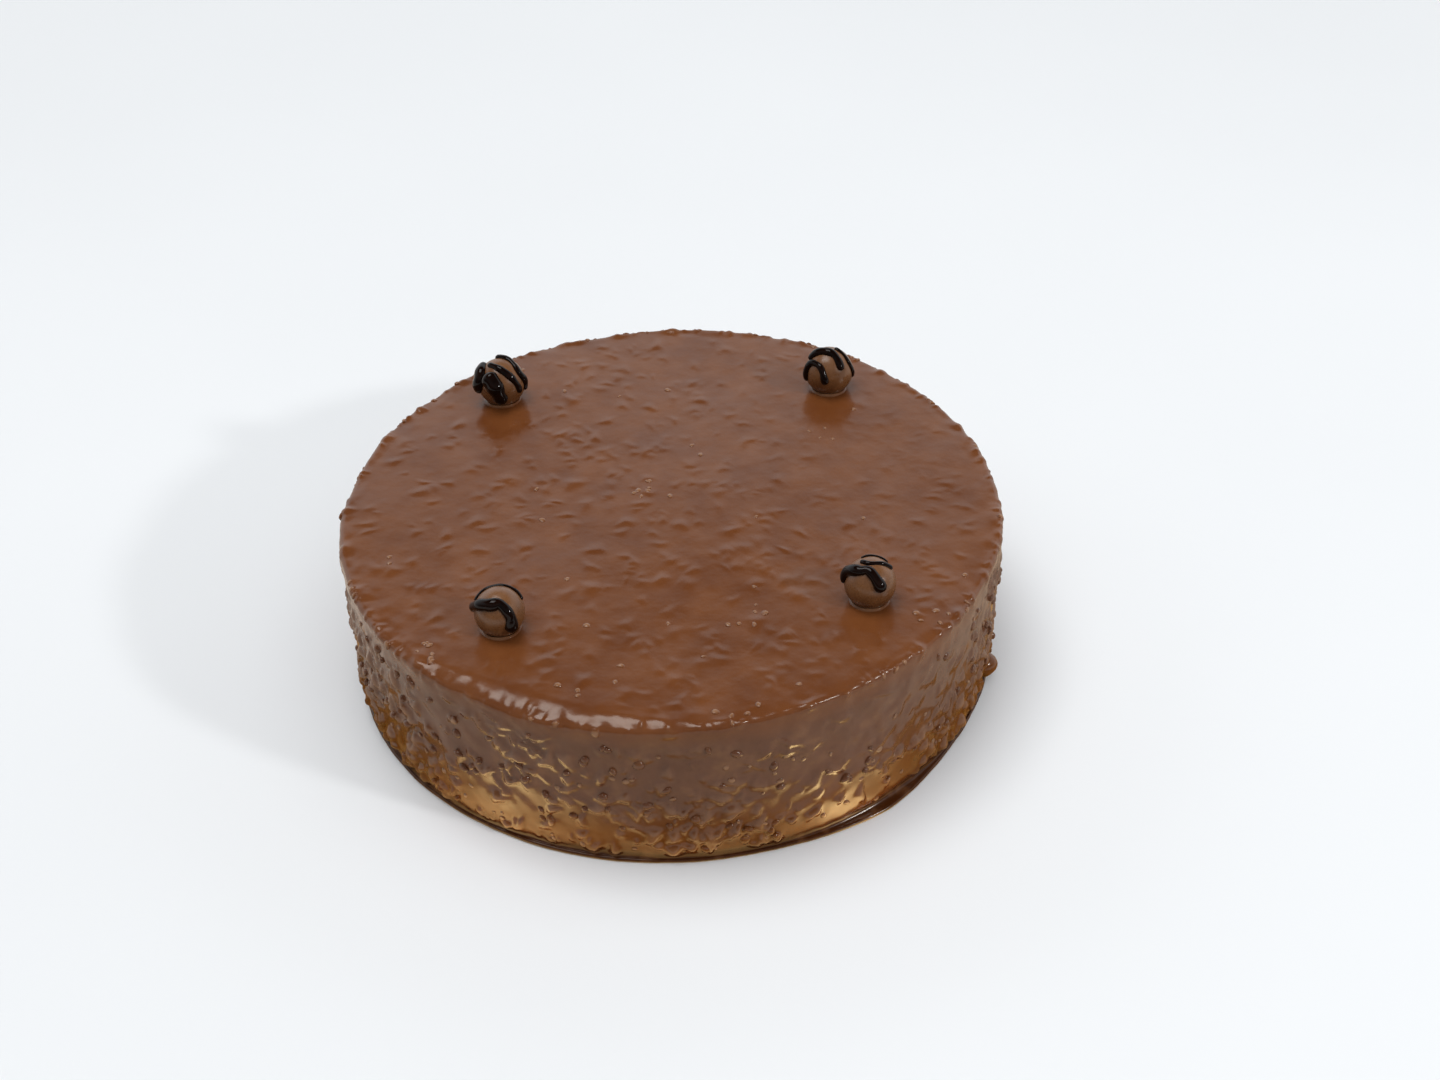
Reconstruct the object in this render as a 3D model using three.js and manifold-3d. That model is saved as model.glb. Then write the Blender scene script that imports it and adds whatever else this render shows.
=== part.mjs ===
// Chocolate hazelnut cake: an uncut round cake under a poured milk chocolate glaze full of chopped nuts.
// Four chocolate coated hazelnuts sit on top, each with strands of dark chocolate drizzled over it.
// Millimetres, +Z up. The origin is the middle of the underside, +X is the right of the front view, +Y the back.
import * as THREE from "three";
import { mergeVertices } from "three/addons/utils/BufferGeometryUtils.js";
import Module from "manifold-3d";

const wasm = await Module();
wasm.setup();

// Driving dimensions of the cake
const RING_DIAMETER = 240;
const GLAZE_THICKNESS = 2;
const CAKE_RADIUS = RING_DIAMETER / 2 + GLAZE_THICKNESS;
const CAKE_HEIGHT = 64;
const BASE_TAPER = 1.2;
const RIM_ROUNDING = 2;
const RIM_TURN = 35;
const FOOT_HEIGHT = 1.6;
const FOOT_REACH = 0.5;
const CREASE_HEIGHT = 3.2;
const CREASE_DEPTH = 0.5;

// Places, in degrees around the cake, where the glaze departs from an even coat
const SOFT_RIM = { angle: -113, spread: 24, rounding: 13 };
const TOP_CALM = { x: 82, y: 38, reach: 52, share: 0.75 };
const SIDE_CALM = { angle: -57, spread: 27, from: 18, to: 30, share: 0.85 };
const FOOT_PUDDLES = [
  { angle: -53, spread: 13, reach: 3.2 },
  { angle: -108, spread: 22, reach: 0.8 },
  { angle: 65, spread: 30, reach: 1.0 },
  { angle: 160, spread: 18, reach: 1.6 },
];

// Facets of the bare cake
const SEGMENTS = 72;
const RIM_TILTS = [90, 62, 35, 17, 0];
const TOP_RINGS = [0.85, 0.55, 0.25];
const SIDE_STATIONS = [0.14, 0.5, 0.86];

// Slight waves of the poured coat: height in mm, turns around the cake and starting angle in radians
const SIDE_WAVES = [
  { height: 0.4, turns: 2, start: 0.6 },
  { height: 0.3, turns: 5, start: 2.1 },
];
const SIDE_DRIPS = { height: 0.35, turns: 11, start: 0.4, length: 70 };
const TOP_WAVE = { height: 0.35, lengthX: 130, lengthY: 170 };

// Chopped nuts under the glaze: number, half length and how far they stand proud, largest first
const SEED = 20;
const TOP_NUTS = { count: 66, halfLength: [3.5, 2.2], proud: [0.4, 0.25], thickness: 1.2 };
const SIDE_NUTS = { count: 125, halfLength: [3.6, 2.2], proud: [1.7, 1.0], thickness: 2.2 };
const RIM_NUTS = { count: 32, halfLength: [3.0, 2.0], proud: [0.8, 0.5], thickness: 1.6 };
const DEEPER_NUTS = { from: 34, to: 56, share: 0.5 };
const BASE_KNOB = { angle: -14, height: 6, halfLength: 5.4, proud: 4.0, thickness: 4.6 };
const LEAST_PROUD = { top: 0.2, side: 0.4 };
const NUT_LOWEST = 6;
const NUT_CLEAR_OF_RIM = 9;
const NUT_CLEAR_OF_HAZELNUT = 3;
const RIM_NUT_LEAN = [20, 70];
const CHIP_RAGGEDNESS = 0.3;
const CHIP_WIDTH = [0.65, 0.95];

// Coated hazelnuts: place around the cake, distance from its middle, diameter, and the strands of drizzle.
// A strand runs through points on the nut, each an azimuth and an elevation in degrees.
const HAZELNUT_SINK = 1.8;
const SEAT_GAP = 0.3;
const HAZELNUT_DETAIL = 2;
const STRAND_SIDES = 5;
const STRAND_STEPS = 8;
const HAZELNUTS = [
  {
    name: "hazelnut_back_left",
    angle: 133,
    distance: 99,
    diameter: 19,
    strands: [
      { width: 5.2, path: [[150, 40], [-157, 27], [-160, -16]] },
      { width: 6.6, path: [[-138, 44], [-102, 22], [-83, -24]] },
      { width: 2.8, path: [[-175, 62], [-81, 63], [-52, 38], [-41, 11], [-36, -9]] },
      { width: 2.8, path: [[109, 51], [37, 64], [-16, 37], [-9, 5], [-13, -16]] },
    ],
  },
  {
    name: "hazelnut_back_right",
    angle: 50,
    distance: 98,
    diameter: 19,
    strands: [
      { width: 2.8, path: [[-164, -18], [-161, 32], [-132, 41], [-112, 30], [-100, -3]] },
      { width: 3.5, path: [[-179, 34], [177, 57], [-159, 79], [-56, 69], [-57, 27]] },
      { width: 1.9, path: [[42, 72], [-6, 54], [-19, 29], [-11, -12]] },
    ],
  },
  {
    name: "hazelnut_front_left",
    angle: -130,
    distance: 90.5,
    diameter: 17.6,
    strands: [
      { width: 4.2, path: [[174, 8], [-117, 52], [-76, 54], [-57, 23], [-59, -18]] },
      { width: 1.8, path: [[165, 18], [133, 43], [102, 51], [47, 43], [12, 22]] },
    ],
  },
  {
    name: "hazelnut_front_right",
    angle: -40,
    distance: 91,
    diameter: 18.2,
    strands: [
      { width: 4.0, path: [[180, 0], [176, 29], [-144, 57], [-100, 63], [-65, 14]] },
      { width: 1.9, path: [[161, 66], [-120, 84], [1, 59], [5, 36]] },
      { width: 1.4, path: [[129, 57], [76, 52], [48, 43], [33, 35]] },
    ],
  },
];

// Colours by eye under soft white light
const GLAZE_COLOUR = 0x6a3e22;
const COAT_COLOUR = 0x6b4024;

const radians = THREE.MathUtils.degToRad;
const mix = THREE.MathUtils.lerp;

// A bell curve around the cake, 1 at the given angle, in degrees
function bell(angle, { angle: middle, spread }) {
  const away = THREE.MathUtils.euclideanModulo(angle - middle + 180, 360) - 180;
  return Math.exp(-((away / spread) ** 2));
}

// Slight waviness of the poured coat on the side, out from the even radius
function sideWave(angle, height) {
  const turn = radians(angle);
  const slow = SIDE_WAVES.reduce((sum, wave) => sum + wave.height * Math.sin(wave.turns * turn + wave.start), 0);
  const drip = Math.sin(SIDE_DRIPS.turns * turn + SIDE_DRIPS.start);
  return slow + SIDE_DRIPS.height * drip * Math.sin((2 * Math.PI * height) / SIDE_DRIPS.length);
}

function topWave(angle, distance) {
  const along = (2 * Math.PI * distance * Math.cos(radians(angle))) / TOP_WAVE.lengthX;
  const across = (2 * Math.PI * distance * Math.sin(radians(angle))) / TOP_WAVE.lengthY;
  return TOP_WAVE.height * Math.sin(along + 1) * Math.cos(across);
}

function sideRadius(angle, height) {
  const taper = BASE_TAPER * (1 - height / CAKE_HEIGHT);
  return CAKE_RADIUS - taper + sideWave(angle, height);
}

// The rim is a tight arc above the wall and a second arc from there to the top, wide and soft at one place
function softRounding(angle) {
  return RIM_ROUNDING + SOFT_RIM.rounding * bell(angle, SOFT_RIM);
}

function rimDrop(angle) {
  const turn = radians(RIM_TURN);
  return RIM_ROUNDING * Math.cos(turn) + softRounding(angle) * (1 - Math.cos(turn));
}

// Radius and height on the rim where it tilts by that many degrees: 90 at the wall and 0 on top
function rimPoint(angle, tilt) {
  const turn = radians(RIM_TURN);
  const lower = Math.max(radians(tilt), turn);
  const upper = Math.min(radians(tilt), turn);
  const soft = softRounding(angle);
  const shoulder = CAKE_HEIGHT - rimDrop(angle);
  const inward = RIM_ROUNDING * (1 - Math.sin(lower)) + soft * (Math.sin(turn) - Math.sin(upper));
  const rise = RIM_ROUNDING * Math.cos(lower) + soft * (Math.cos(upper) - Math.cos(turn));
  return [sideRadius(angle, shoulder) - inward, shoulder + rise];
}

function footReach(angle) {
  return FOOT_PUDDLES.reduce((sum, puddle) => sum + puddle.reach * bell(angle, puddle), FOOT_REACH);
}

// The half section at one angle, from the middle of the underside to the middle of the top
function halfSection(angle) {
  const shoulder = CAKE_HEIGHT - rimDrop(angle);
  const [rimRadius] = rimPoint(angle, 0);
  const foot = sideRadius(angle, 0) + footReach(angle);
  const stations = [[0, 0], [foot - FOOT_HEIGHT / 2, 0], [foot, FOOT_HEIGHT / 2]];
  stations.push([foot - FOOT_HEIGHT / 2, FOOT_HEIGHT]);
  stations.push([sideRadius(angle, CREASE_HEIGHT) - CREASE_DEPTH, CREASE_HEIGHT]);
  for (const share of SIDE_STATIONS) {
    const height = mix(CREASE_HEIGHT, shoulder, share);
    stations.push([sideRadius(angle, height), height]);
  }
  RIM_TILTS.forEach((tilt, step) => {
    const [radius, height] = rimPoint(angle, tilt);
    stations.push([radius, height + (topWave(angle, radius) * step) / (RIM_TILTS.length - 1)]);
  });
  for (const share of TOP_RINGS) {
    stations.push([rimRadius * share, CAKE_HEIGHT + topWave(angle, rimRadius * share)]);
  }
  stations.push([0, CAKE_HEIGHT + topWave(angle, 0)]);
  return stations;
}

// A closed skin of rings around the axis, with one vertex at each end of the half section
function turnedGeometry(sectionAt, segments) {
  const sections = Array.from({ length: segments }, (_, i) => sectionAt((360 * i) / segments));
  const last = sections[0].length - 1;
  const rings = last - 1;
  const positions = [0, 0, sections[0][0][1]];
  for (let ring = 1; ring < last; ring += 1) {
    sections.forEach((section, i) => {
      const turn = (2 * Math.PI * i) / segments;
      const [radius, height] = section[ring];
      positions.push(radius * Math.cos(turn), radius * Math.sin(turn), height);
    });
  }
  positions.push(0, 0, sections[0][last][1]);
  const top = 1 + rings * segments;
  const at = (ring, i) => 1 + ring * segments + (i % segments);
  const faces = [];
  for (let i = 0; i < segments; i += 1) {
    faces.push(0, at(0, i + 1), at(0, i));
    for (let ring = 0; ring + 1 < rings; ring += 1) {
      faces.push(at(ring, i), at(ring, i + 1), at(ring + 1, i + 1));
      faces.push(at(ring, i), at(ring + 1, i + 1), at(ring + 1, i));
    }
    faces.push(at(rings - 1, i), at(rings - 1, i + 1), top);
  }
  const geometry = new THREE.BufferGeometry();
  geometry.setAttribute("position", new THREE.Float32BufferAttribute(positions, 3));
  geometry.setIndex(faces);
  return geometry;
}

// Conversions between three.js geometry and solids that can be joined and cut
function solidOf(geometry) {
  const bare = geometry.clone();
  bare.deleteAttribute("normal");
  bare.deleteAttribute("uv");
  const merged = mergeVertices(bare, 1e-4);
  return new wasm.Manifold(
    new wasm.Mesh({
      numProp: 3,
      vertProperties: new Float32Array(merged.attributes.position.array),
      triVerts: new Uint32Array(merged.index.array),
    }),
  );
}

function geometryOf(solid) {
  const mesh = solid.getMesh();
  const geometry = new THREE.BufferGeometry();
  geometry.setAttribute("position", new THREE.BufferAttribute(mesh.vertProperties, 3));
  geometry.setIndex(new THREE.BufferAttribute(mesh.triVerts, 1));
  return geometry;
}

// Seeded random numbers and an even spread of points
function randomSource(seed) {
  let state = seed;
  return () => {
    state = (Math.imul(state, 1664525) + 1013904223) >>> 0;
    return state / 2 ** 32;
  };
}

function radicalInverse(index, base) {
  let value = 0;
  let share = 1 / base;
  for (let rest = index; rest > 0; rest = Math.floor(rest / base)) {
    value += share * (rest % base);
    share /= base;
  }
  return value;
}

const random = randomSource(SEED);

// A ragged chip of nut, lying on the surface at a place with the given outward direction
function nutChip({ place, outward, halfLength, proud, thickness }) {
  const chip = new THREE.IcosahedronGeometry(1, 0);
  chip.deleteAttribute("normal");
  chip.deleteAttribute("uv");
  const ragged = mergeVertices(chip, 1e-4);
  const points = ragged.attributes.position;
  const corner = new THREE.Vector3();
  for (let i = 0; i < points.count; i += 1) {
    corner.fromBufferAttribute(points, i).multiplyScalar(1 + CHIP_RAGGEDNESS * (random() - 0.5));
    points.setXYZ(i, corner.x, corner.y, corner.z);
  }
  ragged.scale(halfLength, halfLength * mix(...CHIP_WIDTH, random()), thickness);
  ragged.computeBoundingBox();
  const top = ragged.boundingBox.max.z;
  ragged.rotateZ(2 * Math.PI * random());
  const stand = new THREE.Quaternion().setFromUnitVectors(new THREE.Vector3(0, 0, 1), outward);
  ragged.applyQuaternion(stand);
  const middle = place.clone().addScaledVector(outward, proud - top);
  ragged.translate(middle.x, middle.y, middle.z);
  return solidOf(ragged);
}

// Largest first: the sizes fall evenly from the first number of each pair to the second
function sized(kind, index) {
  const share = index / (kind.count - 1);
  return {
    halfLength: mix(...kind.halfLength, share),
    proud: mix(...kind.proud, share),
    thickness: kind.thickness,
  };
}

function direction(angle, elevation) {
  const flat = Math.cos(radians(elevation));
  const turn = radians(angle);
  return new THREE.Vector3(flat * Math.cos(turn), flat * Math.sin(turn), Math.sin(radians(elevation)));
}

function onCake(angle, radius, height) {
  return new THREE.Vector3(radius * Math.cos(radians(angle)), radius * Math.sin(radians(angle)), height);
}

function hazelnutCentre({ angle, distance, diameter }) {
  return onCake(angle, distance, CAKE_HEIGHT + topWave(angle, distance) + diameter / 2 - HAZELNUT_SINK);
}

function clearOfHazelnuts(place, halfLength) {
  return HAZELNUTS.every((nut) => {
    const centre = hazelnutCentre(nut);
    const apart = Math.hypot(place.x - centre.x, place.y - centre.y);
    return apart > nut.diameter / 2 + halfLength * (1 + CHIP_RAGGEDNESS) + NUT_CLEAR_OF_HAZELNUT;
  });
}

// How far a height has climbed from one level to another, from 0 to 1
function climb(height, { from, to }) {
  return THREE.MathUtils.clamp((height - from) / (to - from), 0, 1);
}

// Nuts lie deeper where the glaze is calm, and higher up on the side
function calmOnTop({ x, y }) {
  const apart = Math.hypot(x - TOP_CALM.x, y - TOP_CALM.y);
  return 1 - TOP_CALM.share * Math.exp(-((apart / TOP_CALM.reach) ** 2));
}

function calmOnSide(angle, height) {
  const deeper = mix(1, DEEPER_NUTS.share, climb(height, DEEPER_NUTS));
  const calm = SIDE_CALM.share * bell(angle, SIDE_CALM) * climb(height, SIDE_CALM);
  return deeper * (1 - calm);
}

function topNuts() {
  const nuts = [];
  for (let i = 0; i < TOP_NUTS.count; i += 1) {
    const size = sized(TOP_NUTS, i);
    const distance = (CAKE_RADIUS - NUT_CLEAR_OF_RIM) * Math.sqrt(radicalInverse(i + 1, 2));
    const angle = 360 * radicalInverse(i + 1, 3);
    const place = onCake(angle, distance, CAKE_HEIGHT + topWave(angle, distance));
    size.proud *= calmOnTop(place);
    if (size.proud > LEAST_PROUD.top && clearOfHazelnuts(place, size.halfLength)) {
      nuts.push(nutChip({ place, outward: direction(0, 90), ...size }));
    }
  }
  return nuts;
}

function sideNuts() {
  const nuts = [];
  const highest = CAKE_HEIGHT - NUT_CLEAR_OF_RIM;
  for (let i = 0; i < SIDE_NUTS.count; i += 1) {
    const angle = 360 * radicalInverse(i + 1, 3);
    const height = mix(NUT_LOWEST, highest, radicalInverse(i + 1, 2));
    const size = sized(SIDE_NUTS, i);
    size.proud *= calmOnSide(angle, height);
    if (size.proud > LEAST_PROUD.side) {
      const place = onCake(angle, sideRadius(angle, height), height);
      nuts.push(nutChip({ place, outward: direction(angle, 0), ...size }));
    }
  }
  const knob = onCake(BASE_KNOB.angle, sideRadius(BASE_KNOB.angle, BASE_KNOB.height), BASE_KNOB.height);
  nuts.push(nutChip({ ...BASE_KNOB, place: knob, outward: direction(BASE_KNOB.angle, 0) }));
  return nuts;
}

function rimNuts() {
  const nuts = [];
  for (let i = 0; i < RIM_NUTS.count; i += 1) {
    const angle = 360 * radicalInverse(i + 1, 2);
    const lean = mix(...RIM_NUT_LEAN, radicalInverse(i + 1, 3));
    const place = onCake(angle, ...rimPoint(angle, 90 - lean));
    nuts.push(nutChip({ place, outward: direction(angle, lean), ...sized(RIM_NUTS, i) }));
  }
  return nuts;
}

// The cake with the nuts of its glaze fused on and a shallow seat under each hazelnut
function cakeBody() {
  const bare = solidOf(turnedGeometry(halfSection, SEGMENTS));
  const nuts = [...sideNuts(), ...rimNuts(), ...topNuts()];
  const nutty = nuts.reduce((whole, nut) => whole.add(nut), bare);
  return HAZELNUTS.reduce((whole, nut) => {
    const seat = new THREE.IcosahedronGeometry(nut.diameter / 2 + SEAT_GAP, HAZELNUT_DETAIL);
    const { x, y, z } = hazelnutCentre(nut);
    return whole.subtract(solidOf(seat.translate(x, y, z)));
  }, nutty);
}

// One strand of drizzle: a many-sided cord that follows the nut's skin through the points of its path
function drizzleStrand(nutRadius, { width, path }) {
  const directions = path.map(([azimuth, elevation]) => direction(azimuth, elevation));
  const middles = new THREE.CatmullRomCurve3(directions).getPoints(STRAND_STEPS);
  const route = new THREE.CatmullRomCurve3(middles.map((middle) => middle.setLength(nutRadius)));
  const outline = Array.from({ length: STRAND_SIDES }, (_, i) => {
    const turn = (2 * Math.PI * i) / STRAND_SIDES;
    return new THREE.Vector2((width / 2) * Math.cos(turn), (width / 2) * Math.sin(turn));
  });
  const cord = { steps: STRAND_STEPS, extrudePath: route, bevelEnabled: false };
  return solidOf(new THREE.ExtrudeGeometry(new THREE.Shape(outline), cord));
}

function hazelnut({ diameter, strands }) {
  const nut = solidOf(new THREE.IcosahedronGeometry(diameter / 2, HAZELNUT_DETAIL));
  return strands.reduce((whole, strand) => whole.add(drizzleStrand(diameter / 2, strand)), nut);
}

function named(name, solid, material) {
  const mesh = new THREE.Mesh(geometryOf(solid), material);
  mesh.name = name;
  return mesh;
}

const glaze = new THREE.MeshStandardMaterial({ color: GLAZE_COLOUR, roughness: 0.25, metalness: 0 });
const coat = new THREE.MeshStandardMaterial({ color: COAT_COLOUR, roughness: 0.2, metalness: 0 });

const cake = new THREE.Group();
cake.add(named("cake_body", cakeBody(), glaze));
for (const nut of HAZELNUTS) {
  const mesh = named(nut.name, hazelnut(nut), coat);
  mesh.position.copy(hazelnutCentre(nut));
  cake.add(mesh);
}

export default cake;
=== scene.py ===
import math
import random

import bmesh
import bpy
import numpy as np
from mathutils import Matrix, Vector, noise


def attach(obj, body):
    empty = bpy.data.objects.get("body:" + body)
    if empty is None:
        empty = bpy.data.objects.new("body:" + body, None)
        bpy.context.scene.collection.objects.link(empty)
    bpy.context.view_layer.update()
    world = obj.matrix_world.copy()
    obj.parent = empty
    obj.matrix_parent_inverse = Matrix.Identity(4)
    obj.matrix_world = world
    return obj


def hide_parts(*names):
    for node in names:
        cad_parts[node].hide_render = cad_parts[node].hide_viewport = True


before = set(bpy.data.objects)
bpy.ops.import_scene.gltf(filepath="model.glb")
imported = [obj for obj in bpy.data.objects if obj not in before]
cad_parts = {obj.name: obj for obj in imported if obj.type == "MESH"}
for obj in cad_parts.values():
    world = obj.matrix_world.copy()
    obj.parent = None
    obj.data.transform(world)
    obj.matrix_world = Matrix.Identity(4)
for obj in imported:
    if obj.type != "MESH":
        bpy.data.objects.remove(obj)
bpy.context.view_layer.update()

# Shapes are worked out in millimetres and become metres when a mesh is made
MM = 0.001
SEED = 20
UPWARD = np.array([0, 0, 1.0])

# Without a seed of its own, the noise that shifts the nuts' outlines would differ in each run
noise.seed_set(SEED)


def table(names, *rows):
    """Rows of values as dictionaries, with names for the columns."""
    return [dict(zip(names.split(), row)) for row in rows]


# Driving dimensions, the same as in the solids
RING_DIAMETER = 240
GLAZE_THICKNESS = 2
CAKE_RADIUS = RING_DIAMETER / 2 + GLAZE_THICKNESS
CAKE_HEIGHT = 64
BASE_TAPER = 1.2
RIM_ROUNDING = 2.0
RIM_TURN = 35
FOOT_HEIGHT = 1.6
FOOT_REACH = 0.5
CREASE_HEIGHT = 3.2
CREASE_DEPTH = 0.5

# How the foot's ledge curves up into the crease, and how far up the crease fades
LEDGE_CURVE = 4
CREASE_FADE = 1.5

# Places, in degrees around the cake, where the glaze departs from an even coat
SOFT_RIM = {"angle": -113, "spread": 24, "rounding": 13}
FOOT_PUDDLES = table(
    "angle spread reach",
    (-53, 13, 3.2), (-108, 22, 0.8), (65, 30, 1.0), (160, 18, 1.6),
)

# Slight waves of the poured coat: heights and lengths in mm, turns around the cake, starts in radians
SIDE_WAVES = table("height turns start", (0.4, 2, 0.6), (0.3, 5, 2.1))
SIDE_DRIPS = {"height": 0.35, "turns": 11, "start": 0.4, "length": 70}
TOP_WAVE = {"height": 0.35, "length_x": 130, "length_y": 170, "start": 1}

# Where the glaze is calmer: on the top in mm, and on the side in degrees around and mm up
TOP_CALM = {"x": 82, "y": 38, "reach": 52, "share": 0.75}
SIDE_CALM = {"angle": -57, "spread": 27, "from": 18, "to": 30, "share": 0.85}

# Spots low on the side that are free of small nuts, with their reach around in degrees and up in mm
SMOOTH_PATCHES = table("angle spread height reach", (-58, 10, 6, 9), (-124, 8, 14, 8))

# Chopped nuts under the glaze, from the largest to the smallest. These are in the solids too.
TOP_NUTS, SIDE_NUTS, RIM_NUTS = table(
    "count half_length proud",
    (66, (3.5, 2.2), (0.4, 0.25)), (125, (3.6, 2.2), (1.7, 1.0)), (32, (3.0, 2.0), (0.8, 0.5)),
)
DEEPER_NUTS = {"from": 34, "to": 56, "share": 0.5}
NUT_CLEAR_OF_RIM = 9
NUT_HEIGHTS = (6, CAKE_HEIGHT - NUT_CLEAR_OF_RIM)
NUT_CLEAR_OF_HAZELNUT = 3
NUT_RAGGED_REACH = 1.3
NUT_WIDTH = (0.65, 0.95)
RIM_NUT_LEAN = (20, 70)

# What a lump's size is made of
SIZES = ("half_length", "proud", "half_width")

# The lump at the right of the base, slightly fuller than in the solids
BASE_KNOB = {"angle": -14, "height": 6, "half_length": 5.6, "half_width": 5.2, "proud": 4.4}
KNOB_CUT = (0.9, 1.1)

# Smaller nuts, too fine for the solids, in loose clusters
SMALL_TOP_NUTS, SMALL_SIDE_NUTS, SMALL_RIM_NUTS = table(
    "count half_length proud width",
    (520, (3.2, 1.7), (0.235, 0.11), (0.5, 0.95)),
    (1050, (3.2, 1.4), (1.7, 0.7), (0.5, 0.9)),
    (110, (2.0, 1.0), (0.6, 0.3), (0.5, 0.9)),
)
CLUSTER_SIZE = 17
CLUSTER_EDGE = (-0.6, 0.2)
SMALL_NUT_HEIGHTS = (4, CAKE_HEIGHT - NUT_CLEAR_OF_RIM)
SMALL_NUT_LOW_BIAS = 1.25

# Folds of glaze on the side: long low ridges that lie or slant across the wall
RUNS = {"count": 100, "half_length": (2.5, 8.0), "half_width": (0.9, 1.7), "proud": (0.4, 1.0)}
RUN_HEIGHTS = (8, 57)
RUN_TURNS = (-0.8, 0.8)

# How the glaze lies over the nuts
BUMP_RAGGEDNESS = 0.16
BUMP_TILT = 0.4
BUMP_STEEPNESS = {"top": 2.0, "side": 2.6}
BUMP_BLEND = 2.6
BUMP_REACH = 0.85
BUMP_CUTOFF = 1.9
PHASES = (0, 6.28)
FACING_UP = 0.9
TOP_WARP = {"size": 6, "height": 0.7}
SIDE_WARPS = [{"size": 4.5, "height": 1.0}, {"size": 2.0, "height": 0.3}]
TOP_BLEND = {"below": 5, "inside": 2, "width": 4}
LIFT_START = 0.4

# Bits of nut: balls cut by soft facets
PEBBLE_FINENESS = 3
PEBBLE_FACETS = 6
PEBBLE_CUT = (0.62, 0.92)
PEBBLE_SHARPNESS = 7
PEBBLE_THICKNESS = 0.62
PEBBLE_DEPTH = 1.3

# Uneven ripples: size and height in mm
SIDE_RIPPLES = [(5, 0.3), (11, 0.5), (24, 0.4)]
TOP_RIPPLES = [(4.5, 0.03), (8, 0.06), (24, 0.16)]
RIM_RIPPLES = [(9, 0.9), (4.5, 0.7), (2.4, 0.25)]
RIM_BAND = {"inside": 4, "below": 3, "squash": 2, "reach": 5, "widening": 2}
RIM_CALM_SHARE = 0.2
FOOT_RIPPLES = [(14, 0.25), (6, 0.15)]

# Specks of nut under the thinnest glaze, in clusters on the top and scattered over the rest
SPECKS = {"half_length": (1.2, 2.1), "proud": (0.3, 0.6)}
SPECK_CLUSTERS = table(
    "x y spread count",
    (-10, 9, 9, 8), (61, 45, 9, 4), (93, -68, 10, 5), (27, -66, 15, 6),
    (-82, -80, 8, 7), (-22, -100, 8, 4), (24, -112, 6, 4),
)
SCATTERED_SPECKS = {"top": 22, "rim": 40, "side": 150}
SPECK_CLEAR_OF_RIM = {"clustered": 4, "scattered": 5}
SPECK_RIM_LEAN = (5, 85)

# How pale the thin glaze is over the crowns of specks and of larger nuts
SPECK_PALENESS = 1.0
NUT_PALENESS = 0.65

# Single nuts on the side, each under its own coat of glaze
LONE_NUTS = {"count": 300, "half_length": (1.5, 2.6), "proud": (0.7, 1.3)}
LONE_NUT_FINENESS = 2

# Bits of bare nut on the side
CHIPS = {"count": 60, "half_length": (0.9, 1.7), "proud": (0.3, 0.6)}

# Coated hazelnuts and their seats
HAZELNUT_SINK = 1.8
HAZELNUT_FINENESS = 5
HAZELNUT_UNEVENNESS = {"share": 0.006, "size": 7}
SEAT_GAP = 0.2

# The low lip of glaze around each hazelnut, highest at the front, where its crest is painted pale as a
# painted highlight
LIP_HEIGHT = 1.0
LIP_WIDTH = 2.6
LIP_LEAN = 1.1
LIP_OVERLAP = 0.3
LIP_SINK = 0.15
LIP_UNEVENNESS = 0.15
LIP_FRONT = {"angle": -100, "spread": 60}
LIP_BACK_SHARE = 0.3
LIP_SEGMENTS = 72
LIP_ROWS = 11

# Strands of drizzle: cords that stand out more than they sink in, with slight waves along them
STRAND_STEPS = 44
STRAND_SIDES = 18
STRAND_RISE = 0.9
STRAND_SINK = 0.5
STRAND_TIP = 0.05
STRAND_WAVES = table("share length starts", (0.12, 2.3, 1), (0.06, 0.9, 2))

# Each hazelnut's place and size, and its strands: a width and a path of azimuths and elevations on the nut
HAZELNUTS = {
    "back_left": dict(angle=133, distance=99, diameter=19, strands=[
        (5.2, [(150, 40), (-157, 27), (-160, -16)]),
        (6.6, [(-138, 44), (-102, 22), (-83, -24)]),
        (2.8, [(-175, 62), (-81, 63), (-52, 38), (-41, 11), (-36, -9)]),
        (2.8, [(109, 51), (37, 64), (-16, 37), (-9, 5), (-13, -16)]),
    ]),
    "back_right": dict(angle=50, distance=98, diameter=19, strands=[
        (2.8, [(-164, -18), (-161, 32), (-132, 41), (-112, 30), (-100, -3)]),
        (3.5, [(-179, 34), (177, 57), (-159, 79), (-56, 69), (-57, 27)]),
        (1.9, [(42, 72), (-6, 54), (-19, 29), (-11, -12)]),
    ]),
    "front_left": dict(angle=-130, distance=90.5, diameter=17.6, strands=[
        (4.2, [(174, 8), (-117, 52), (-76, 54), (-57, 23), (-59, -18)]),
        (1.8, [(165, 18), (133, 43), (102, 51), (47, 43), (12, 22)]),
    ]),
    "front_right": dict(angle=-40, distance=91, diameter=18.2, strands=[
        (4.0, [(180, 0), (176, 29), (-144, 57), (-100, 63), (-65, 14)]),
        (1.9, [(161, 66), (-120, 84), (1, 59), (5, 36)]),
        (1.4, [(129, 57), (76, 52), (48, 43), (33, 35)]),
    ]),
}

# Fineness of the glaze mesh
SEGMENTS = 1200
SIDE_ROWS = 62
FOOT_ROWS = 4
LEDGE_ROWS = 5
RIM_ROWS = 9
TOP_RING_STEP = 0.9
HALVING_RADII = (84, 42, 21, 10)


def bell(angle, spot, widening=1):
    """How near an angle is to the middle of a spot, from 1 there to 0 far away."""
    away = (angle - spot["angle"] + 180) % 360 - 180
    return np.exp(-((away / (widening * spot["spread"])) ** 2))


def mix(low, high, share):
    return low + (high - low) * share


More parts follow.
